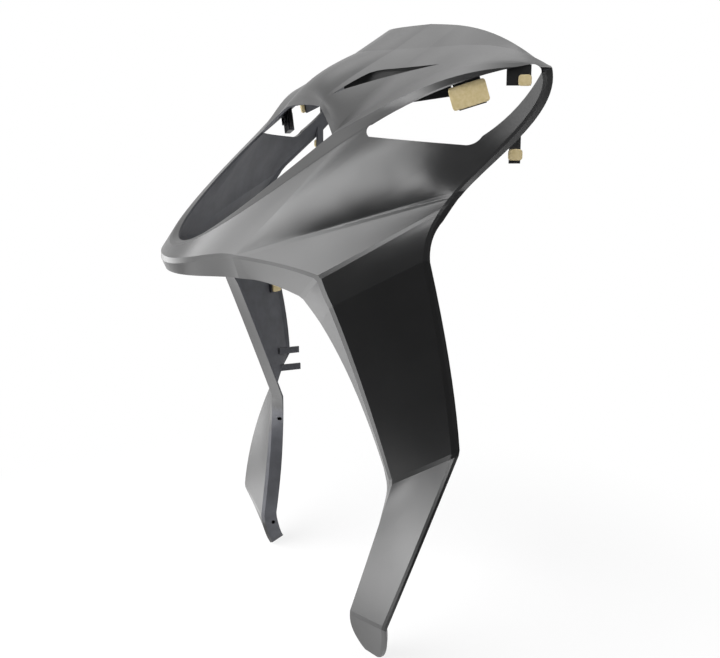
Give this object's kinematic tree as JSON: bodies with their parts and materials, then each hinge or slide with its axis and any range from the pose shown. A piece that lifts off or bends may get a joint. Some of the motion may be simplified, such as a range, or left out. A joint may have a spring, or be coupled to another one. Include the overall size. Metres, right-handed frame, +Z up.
{
  "type": "motorcycle front fairing",
  "caption": "One-piece moulded front fairing with a nose, headlight openings, an upper cowl and two legs that end in toes; felt pads and spring clips inside.",
  "frame": {"origin": "midway between the two upper stay holes", "axes": "+Z up, the nose faces -Y, +X towards the rider's left"},
  "size_m": [0.5172, 0.3376, 0.691],
  "materials": {
    "shell_plastic": "satin",
    "clip_steel": "matt black",
    "pad_felt": "felt"
  },
  "bodies": {
    "root": {"fairing_shell": "shell_plastic", "stay_clip_left": "clip_steel", "stay_clip_right": "clip_steel", "brow_pad_left": "pad_felt", "brow_pad_right": "pad_felt", "corner_pad_left": "pad_felt", "corner_pad_right": "pad_felt", "flank_pad_left": "pad_felt", "flank_pad_right": "pad_felt", "leg_pad_left": "pad_felt", "leg_pad_right": "pad_felt"}
  },
  "joints": []
}
